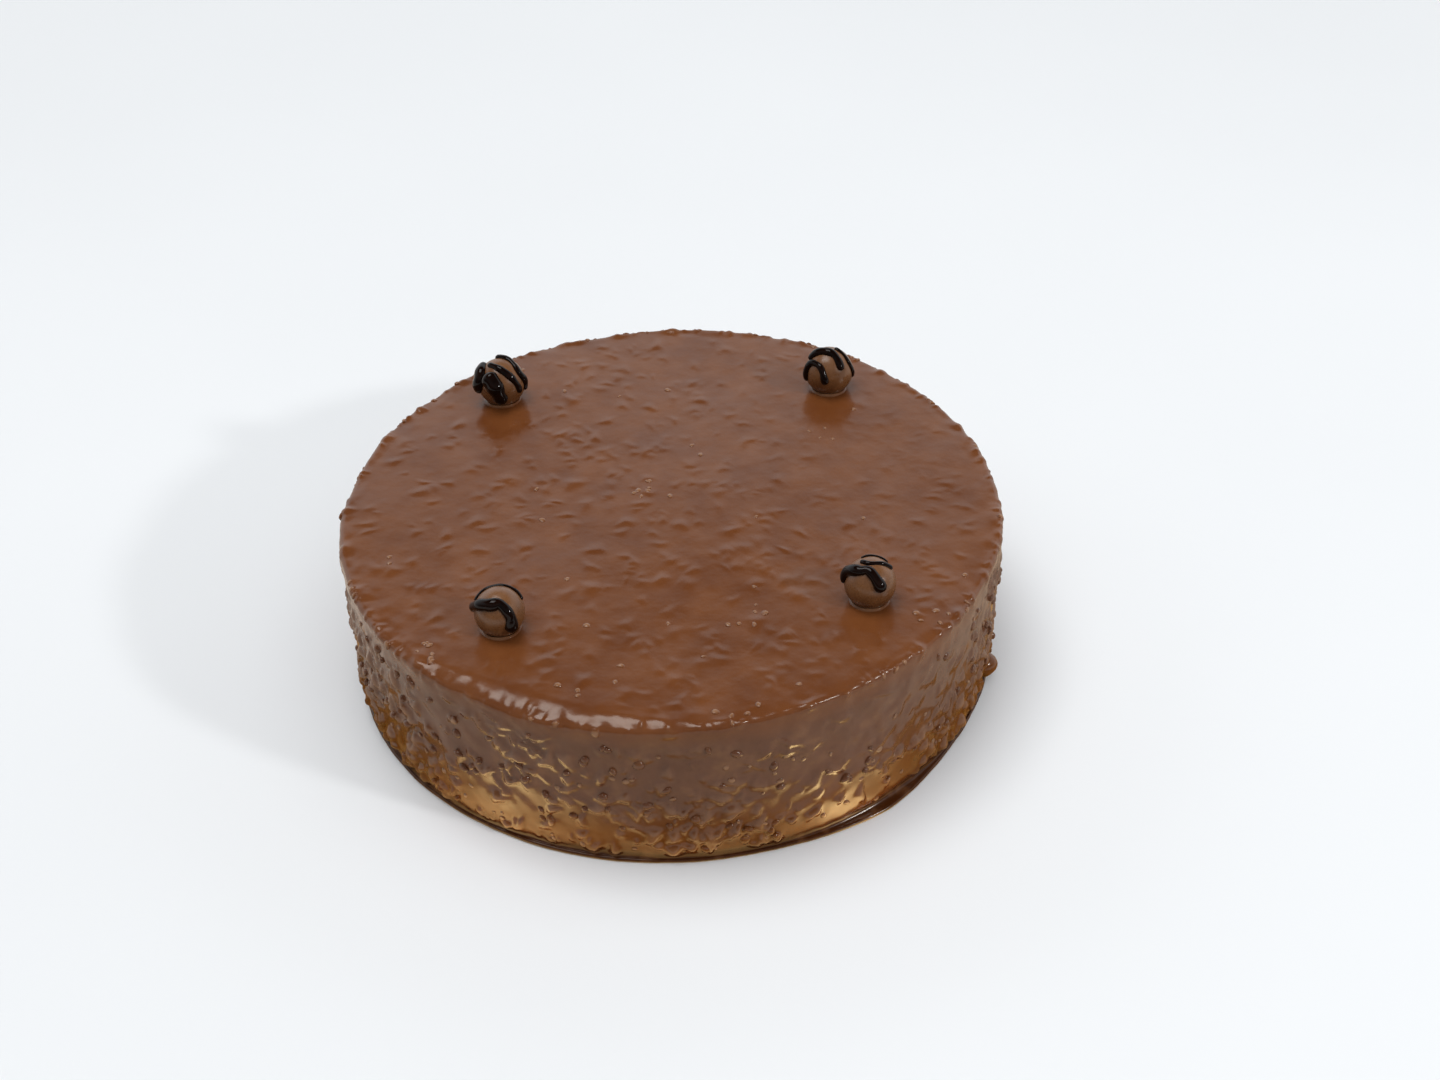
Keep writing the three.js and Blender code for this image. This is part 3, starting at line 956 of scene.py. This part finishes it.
def mixed(tree, share, first, second):
    """A colour between two others, each given as a tuple or as another node's output."""
    node = tree.nodes.new("ShaderNodeMix")
    node.data_type = "RGBA"
    numbers = [i for i, socket in enumerate(node.inputs) if socket.type == "RGBA"]
    colours = [(*value, 1) if isinstance(value, tuple) else value for value in (first, second)]
    set_inputs(tree, node, {"Factor": share} | dict(zip(numbers, colours)))
    return next(socket for socket in node.outputs if socket.type == "RGBA")


def bump(tree, grain, depth, below=None):
    """Fine relief of a noise, given by its scale and detail, over another such relief."""
    inputs = {"Strength": 1.0, "Distance": depth, "Height": noise_node(tree, *grain)}
    if below:
        inputs["Normal"] = below
    return new_node(tree, "ShaderNodeBump", inputs).outputs["Normal"]


def axes(tree, coordinates):
    """The x, y and z of the named kind of coordinates."""
    place = tree.nodes.new("ShaderNodeTexCoord").outputs[coordinates]
    split = new_node(tree, "ShaderNodeSeparateXYZ", {"Vector": place})
    return [split.outputs[axis] for axis in "XYZ"]


def share_of(tree, name):
    attribute = tree.nodes.new("ShaderNodeAttribute")
    attribute.attribute_name = name
    return attribute.outputs["Fac"]


# The range of a noise that is spread into clouds
CLOUD_SPAN = (0.3, 0.7)

# The glaze's colours, on the top, on the side and where it is thin or deep, with a painted shade at the
# foot, a painted reflection low on the side, and a pale tone over nuts that is also the lips' painted
# highlight
GLAZE_DARK = (0.122, 0.036, 0.0095)
GLAZE_LIGHT = (0.160, 0.052, 0.0150)
GLAZE_SIDE = (0.117, 0.043, 0.0195)
# Painted reflection: a warmer, redder brown low on the side stands in for the warm glint of a gold board
# beneath
PAINTED_LOW_REFLECTION = (0.135, 0.040, 0.0065)
# Painted shade: near black at the foot and in the crease above it
PAINTED_FOOT_SHADE = (0.050, 0.013, 0.0020)
GLAZE_DEEP = (0.085, 0.026, 0.0080)
GLAZE_PALE = (0.230, 0.100, 0.040)
# A pale tone over nuts, which on the lips is a painted highlight
GLAZE_OVER_NUT_AND_HIGHLIGHT = (0.330, 0.178, 0.092)
SHEEN = (1.0, 0.96, 0.90)

# Heights, in metres, over which the glaze's look changes
TOP_TO_SIDE = (0.060, 0.054)
LOW_TO_SIDE = (0.012, 0.026)
FOOT_TO_LOW = (0.0032, 0.006)
SIDE_TO_TOP_GLOSS = (0.0615, 0.064)

# Noises of the glaze by scale and detail, where its blotches and its nuts start to show, and how much. The
# nuts' pale tone also carries the lips' painted highlight.
GLAZE_CLOUDS = (70, 4)
GLAZE_BLOTCHES = (120, 2)
PALE_BLOTCH = (0.54, 0.70, 0, 0.3)
DEEP_BLOTCH = (0.46, 0.32, 0, 0.4)
NUT_AND_HIGHLIGHT_SHOWING = (0.15, 1.0, 0, 0.58)
GLAZE_GLOSS = {"grain": (160, 3), "low": 0.14, "high": 0.23}
TOP_DULLNESS = 0.04
GLAZE_FINE = {"grain": (900, 2), "depth": 0.00001}
GLAZE_COARSE = {"grain": (260, 2), "depth": 0.00007}
GLAZE_IOR = 1.5

# The other looks: two colours in clouds, the range of roughness, and a fine grain with its depth in metres
LOOKS = {
    "chopped_nut": {
        "colours": [(0.170, 0.075, 0.030), (0.290, 0.158, 0.083)], "clouds": (420, 3),
        "gloss": {"grain": (900, 2), "low": 0.24, "high": 0.42},
        "grain": (1500, 2), "depth": 0.00004, "ior": 1.5,
    },
    "coated_hazelnut": {
        "colours": [(0.130, 0.051, 0.0165), (0.182, 0.077, 0.0275)], "clouds": (160, 3),
        "gloss": {"grain": (500, 3), "low": 0.24, "high": 0.36},
        "grain": (700, 3), "depth": 0.00005, "ior": 1.52,
    },
    "dark_chocolate": {
        "colours": [(0.0030, 0.0012, 0.0008), (0.0090, 0.0026, 0.0012)], "clouds": (300, 2),
        "gloss": {"grain": (400, 2), "low": 0.03, "high": 0.07},
        "grain": (450, 2), "depth": 0.00006, "ior": 1.28,
    },
}
FLOOR_COLOURS = [(0.80, 0.815, 0.83), (0.82, 0.835, 0.85)]
FLOOR_CLOUDS = (3, 2)
FLOOR_ROUGHNESS = 0.7
FLOOR_SPECULAR = 0.05


def glaze_colour(tree, height):
    """Browns of the top and the side, with blotches on the side and a lighter tone over nuts, painted shade
    at the foot, a warmer brown low on the side as a painted reflection, and a painted highlight on the
    lips.
    """
    on_side = spread(tree, height, *TOP_TO_SIDE)
    # Low on the side the brown turns warmer as a painted reflection
    side = mixed(tree, spread(tree, height, *LOW_TO_SIDE), PAINTED_LOW_REFLECTION, GLAZE_SIDE)
    # At the foot the glaze turns near black as painted shade
    side = mixed(tree, spread(tree, height, *FOOT_TO_LOW), PAINTED_FOOT_SHADE, side)
    colour = mixed(tree, on_side, mixed(tree, clouds(tree, GLAZE_CLOUDS), GLAZE_DARK, GLAZE_LIGHT), side)
    blotch = noise_node(tree, *GLAZE_BLOTCHES)
    pale = combined(tree, "MULTIPLY", on_side, spread(tree, blotch, *PALE_BLOTCH))
    deep = combined(tree, "MULTIPLY", on_side, spread(tree, blotch, *DEEP_BLOTCH))
    colour = mixed(tree, deep, mixed(tree, pale, colour, GLAZE_PALE), GLAZE_DEEP)
    return mixed(tree, spread(tree, share_of(tree, "nut_and_highlight_share"), *NUT_AND_HIGHLIGHT_SHOWING), colour, GLAZE_OVER_NUT_AND_HIGHLIGHT)


def glaze_material():
    """Milk chocolate, lighter where it is thin over nuts and on the lips' painted highlight, with painted
    shade at the foot, a painted reflection low on the side, and a duller gloss on top than on the side.
    """
    material, tree, shader = new_material("milk_chocolate_glaze")
    height = axes(tree, "Object")[2]
    duller_top = spread(tree, height, *SIDE_TO_TOP_GLOSS, 0, TOP_DULLNESS)
    set_inputs(tree, shader, {
        "Base Color": glaze_colour(tree, height),
        "Specular Tint": (*SHEEN, 1),
        "Roughness": combined(tree, "ADD", clouds(tree, **GLAZE_GLOSS), duller_top),
        "Normal": bump(tree, **GLAZE_COARSE, below=bump(tree, **GLAZE_FINE)),
        "IOR": GLAZE_IOR,
    })
    return material


def cloudy_material(name):
    """One of the other looks."""
    material, tree, shader = new_material(name)
    look = LOOKS[name]
    set_inputs(tree, shader, {
        "Base Color": mixed(tree, clouds(tree, look["clouds"]), *look["colours"]),
        "Roughness": clouds(tree, **look["gloss"]),
        "Normal": bump(tree, look["grain"], look["depth"]),
        "IOR": look["ior"],
    })
    return material


def floor_material():
    material, tree, shader = new_material("pale_floor")
    set_inputs(tree, shader, {
        "Base Color": mixed(tree, clouds(tree, FLOOR_CLOUDS), *FLOOR_COLOURS),
        "Roughness": FLOOR_ROUGHNESS,
        "Specular IOR Level": FLOOR_SPECULAR,
    })
    return material


# Stage, light and camera

CAMERA_PLACE = (17.98, -595.50, 511.05)
CAMERA_ELEVATION = 37.99
CAMERA_ROLL = -1.333
CAMERA_LENS = 50
CAMERA_SENSOR = 36
FLOOR_HALF_SIZE = 4000

# Lights: their places in degrees and metres, how wide they look in degrees, and whether gloss shows them
SOFTBOXES = table(
    "name azimuth elevation distance spread radiance mirrored",
    ("key", -29, 30, 2.6, 4.4, 150, True),
    ("window", 160, 77, 3.4, 27, 5.0, True),
    ("fill", -90, 82, 3.0, 70, 1.07, False),
)

# Strips of warm light beside the foot: their angles in degrees, and lengths and widths in mm
BOUNCE_COLOUR = (1.0, 0.66, 0.25)
BOUNCE_HEIGHT = 0.6
BOUNCE_GAP = 2
BOUNCE_LIGHTS = table(
    "angle length width radiance",
    (-117, 75, 22, 1.7), (-88, 45, 14, 0.9), (-60, 55, 16, 1.8), (-15, 90, 14, 0.3),
    (40, 110, 16, 0.9), (105, 110, 16, 0.9), (170, 110, 16, 0.6),
)

# A warm card around the foot that glows though it is no lamp and that only gloss shows: a painted
# reflection of a gold board on the low side. Its reach in mm and the parts of it that are golden
CARD_START = -4
CARD_REACH = 20
CARD_DEPTH = 0.5
CARD_SEGMENTS = 360
CARD_GLOW_DARK = (0.30, 0.12, 0.012)
CARD_GLOW_GOLD = (9.0, 6.5, 3.0)
CARD_EDGE = 3
CARD_PATCHES = table(
    "angle spread from to share",
    (-90, 42, -7, 8, 0.13), (-119, 13, 0, 19, 0.28), (-123, 6, 7, 19, 0.5), (-60, 12, 1, 17, 0.28),
    (-59, 6.5, 0, 15, 0.65), (20, 18, 2, 14, 0.17), (90, 46, -7, 8, 0.12), (150, 20, 1, 15, 0.2),
)

# Brightness of the room by the height of the direction, from level to overhead
ROOM_BEHIND = [
    (0.0, (0.93, 0.97, 1.0)), (0.54, (0.98, 1.07, 1.15)), (0.60, (0.84, 0.86, 0.87)),
    (0.64, 0.74), (0.652, 0.10), (0.70, 0.0), (1.0, 0.04),
]
ROOM_IN_FRONT = [(0.0, 0.05), (0.25, 0.10), (0.45, 0.28), (0.65, 0.22), (1.0, 0.04)]

# Colour of the ground in the gloss, from straight down to level
GROUND = [
    (0.0, (0.60, 0.48, 0.34)), (0.2, (0.76, 0.64, 0.50)), (0.36, (0.81, 0.70, 0.60)),
    (0.6, (0.83, 0.75, 0.67)), (1.0, (0.92, 0.91, 0.90)),
]
GROUND_BEHIND = [GROUND[0], (0.2, (0.60, 0.47, 0.34)), (0.4, (0.58, 0.45, 0.33)), GROUND[-1]]

# Where, by the direction, the front of the room turns into its back, and the ground into the room
ROOM_TURN = (-0.35, 0.45)
GROUND_TURN = (0.3, 0.9)
GROUND_LEAN = 0.5
HORIZON = (-0.02, 0.0)
ROOM_STRENGTH = 0.95


def add_camera():
    data = bpy.data.cameras.new("camera")
    data.lens = CAMERA_LENS
    data.sensor_width = CAMERA_SENSOR
    camera = new_object("camera", data)
    tip = math.radians(CAMERA_ELEVATION)
    forward = Vector((0, math.cos(tip), -math.sin(tip)))
    up = Vector((0, math.sin(tip), math.cos(tip)))
    roll = Matrix.Rotation(math.radians(CAMERA_ROLL), 3, -forward)
    right, up = roll @ Vector((1, 0, 0)), roll @ up
    camera.matrix_world = Matrix((right, up, -forward)).transposed().to_4x4()
    camera.matrix_world.translation = Vector(CAMERA_PLACE) * MM
    bpy.context.scene.camera = camera


def area_light(name, length, width, radiance):
    data = bpy.data.lights.new(name, "AREA")
    data.shape = "RECTANGLE"
    data.size = length
    data.size_y = width
    data.energy = math.pi * length * width * radiance
    return new_object(name, data)


def add_softbox(light):
    """A square light that faces the cake."""
    size = 2 * light["distance"] * math.tan(math.radians(light["spread"] / 2))
    box = area_light(light["name"], size, size, light["radiance"])
    towards = Vector(direction(light["azimuth"], light["elevation"]))
    box.location = towards * light["distance"]
    box.rotation_euler = towards.to_track_quat("Z", "Y").to_euler()
    box.visible_glossy = light["mirrored"]


def add_bounce(light):
    """A strip of light that lies beside the foot of the cake and faces up."""
    strip = area_light("bounce", light["length"] * MM, light["width"] * MM, light["radiance"])
    strip.data.color = BOUNCE_COLOUR
    away = CAKE_RADIUS + BOUNCE_GAP + light["width"] / 2
    strip.location = Vector(direction(light["angle"], 0) * away + UPWARD * BOUNCE_HEIGHT) * MM
    strip.rotation_euler = (math.pi, 0, math.radians(light["angle"] + 90))
    strip.visible_camera = False
    strip.visible_glossy = False


def ramp(tree, value, stops):
    """Colours, or plain levels of grey, by a value from 0 to 1."""
    node = new_node(tree, "ShaderNodeValToRGB", {"Fac": value})
    elements = node.color_ramp.elements
    while len(elements) < len(stops):
        elements.new(0.5)
    for element, (place, colour) in zip(elements, stops):
        element.position = place
        element.color = (*colour, 1) if isinstance(colour, tuple) else (colour, colour, colour, 1)
    return node.outputs["Color"]


def add_surroundings():
    """A studio that is bright behind the cake up to some 40 degrees, and dim overhead and in front."""
    world = bpy.data.worlds.new("studio")
    bpy.context.scene.world = world
    world.use_nodes = True
    tree = world.node_tree
    x, y, z = axes(tree, "Generated")
    behind_share = spread(tree, y, *ROOM_TURN)
    room = mixed(tree, behind_share, ramp(tree, z, ROOM_IN_FRONT), ramp(tree, z, ROOM_BEHIND))
    below = spread(tree, z, -1, 0)
    more_to_the_right = spread(tree, x, -1, 1, -GROUND_LEAN, GROUND_LEAN)
    far_share = spread(tree, combined(tree, "ADD", y, more_to_the_right), *GROUND_TURN)
    ground = mixed(tree, far_share, ramp(tree, below, GROUND), ramp(tree, below, GROUND_BEHIND))
    above_ground = spread(tree, z, *HORIZON)
    colour = mixed(tree, above_ground, ground, room)
    set_inputs(tree, tree.nodes["Background"], {"Color": colour, "Strength": ROOM_STRENGTH})


def add_floor():
    """A pale floor. Gloss shows the warm ground of the surroundings in its place."""
    size = FLOOR_HALF_SIZE
    corners = [(-size, -size, 0), (size, -size, 0), (size, size, 0), (-size, size, 0)]
    floor = mesh_piece("floor", corners, [(0, 1, 2, 3)], floor_material())
    floor.visible_glossy = False


def glowing_card_material():
    # Emission: the card glows, a painted reflection that only gloss sees
    material, tree, shader = new_material("glowing_card", "ShaderNodeEmission")
    set_inputs(tree, shader, {"Color": mixed(tree, share_of(tree, "gold_share"), CARD_GLOW_DARK, CARD_GLOW_GOLD)})
    return material


def add_card():
    """A flat glowing ring just under the floor, which gloss sees through: a painted reflection on the low
    side.
    """
    angles = 360 * np.arange(CARD_SEGMENTS) / CARD_SEGMENTS
    points, golden = [], []
    for reach in range(CARD_START, CARD_REACH + 1):
        points.append(on_cake(angles, CAKE_RADIUS + reach, -CARD_DEPTH))
        gold = 0 * angles
        for patch in CARD_PATCHES:
            within = min(reach - patch["from"], patch["to"] - reach) / CARD_EDGE
            share = patch["share"] * min(max(within, 0), 1)
            gold = np.maximum(gold, share * bell(angles, patch))
        golden.append(gold)
    faces = band_faces(0, len(points), CARD_SEGMENTS)
    card = mesh_piece("glowing_card", np.concatenate(points), faces, glowing_card_material())
    set_shares(card, "gold_share", np.concatenate(golden))


def add_light():
    add_surroundings()
    add_card()
    for light in SOFTBOXES:
        add_softbox(light)
    for light in BOUNCE_LIGHTS:
        add_bounce(light)


def carry(piece, replaced=None):
    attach(piece, "root")
    if replaced:
        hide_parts(replaced)


def main():
    glaze = glaze_material()
    chip, coat, dark = (cloudy_material(name) for name in LOOKS)
    draw = random.Random(SEED)
    lumps = {
        "nuts": top_bumps(draw) + side_nuts(draw) + rim_nuts(draw),
        "runs": [glaze_run(draw) for _ in range(RUNS["count"])],
    }
    for piece in glaze_body(lumps, glaze):
        carry(piece, "cake_body")
    carry(pebbles("glaze_knob", draw, [base_knob(draw)], glaze), "cake_body")
    carry(lone_nuts(lumps, glaze))
    carry(nut_specks(lumps, glaze))
    carry(nut_chips(lumps, chip))
    carry(glaze_lips(glaze))
    for name, nut in HAZELNUTS.items():
        carry(coated_hazelnut(f"coated_{name}", nut, coat), f"hazelnut_{name}")
        carry(drizzle(f"drizzle_{name}", nut, dark))
    add_floor()
    add_light()
    add_camera()
    bpy.context.scene.view_settings.view_transform = "Standard"


main()
